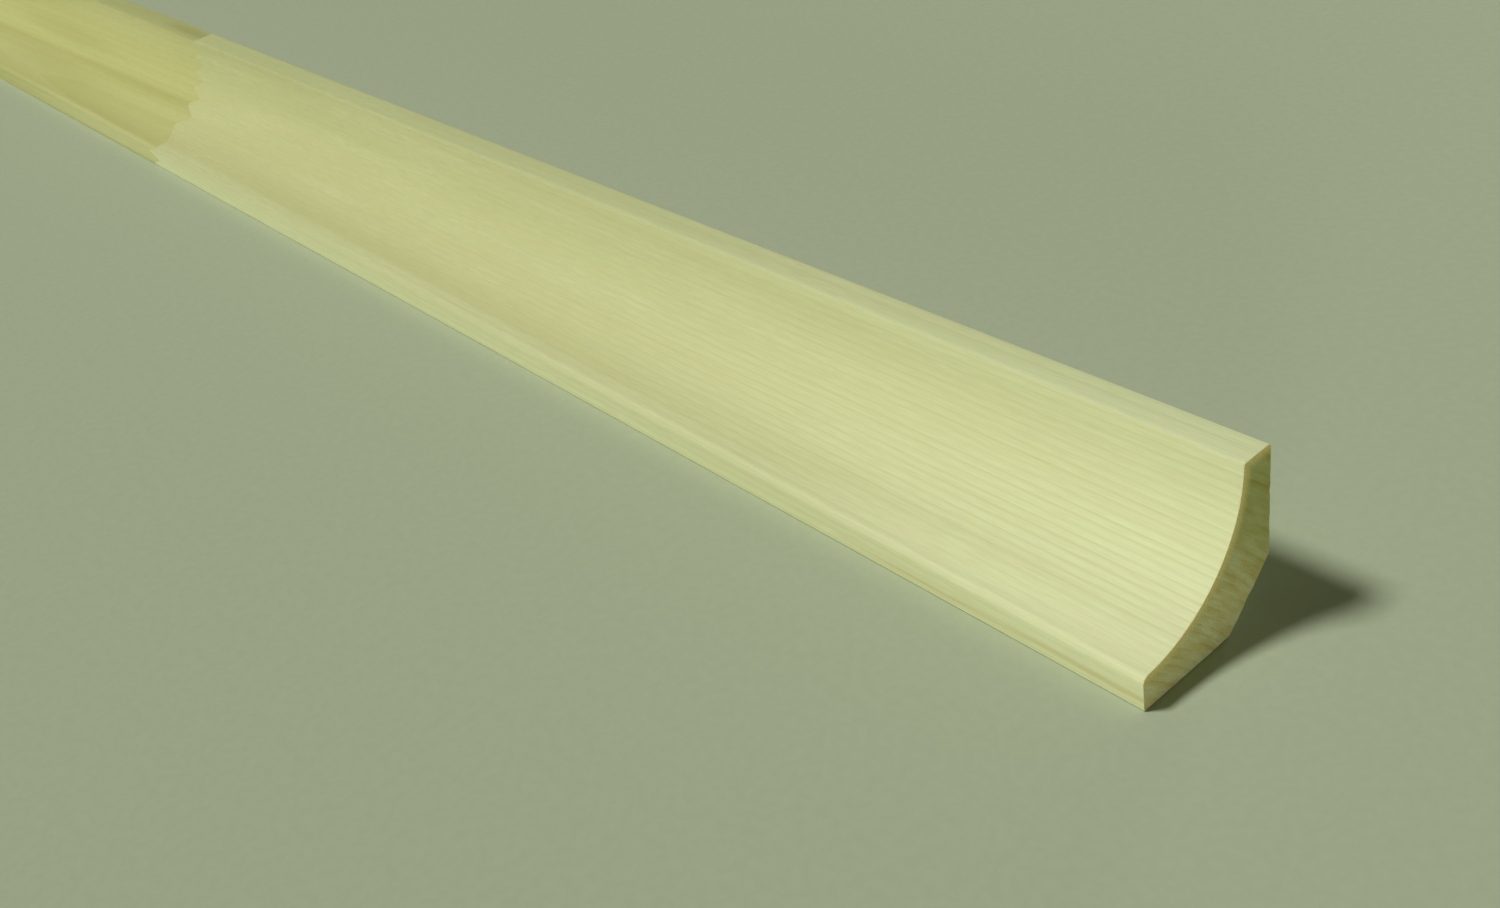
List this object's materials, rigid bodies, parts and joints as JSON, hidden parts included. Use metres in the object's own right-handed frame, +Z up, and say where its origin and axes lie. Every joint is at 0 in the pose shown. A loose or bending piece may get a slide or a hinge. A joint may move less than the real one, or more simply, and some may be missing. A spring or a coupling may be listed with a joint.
{
  "type": "cove moulding",
  "caption": "Straight pine cove moulding with a quarter-round hollow front between flat lips and a chamfered heel, for covering the joint where a floor meets a wall.",
  "frame": {"origin": "middle of the stick's length and depth, on the floor", "axes": "+X along the stick, +Y from the hollow front to the wall, +Z up"},
  "size_m": [2.4, 0.028, 0.028],
  "materials": {
    "pine": "planed, unfinished"
  },
  "bodies": {
    "root": {"floor_moulding": "pine"}
  },
  "joints": []
}
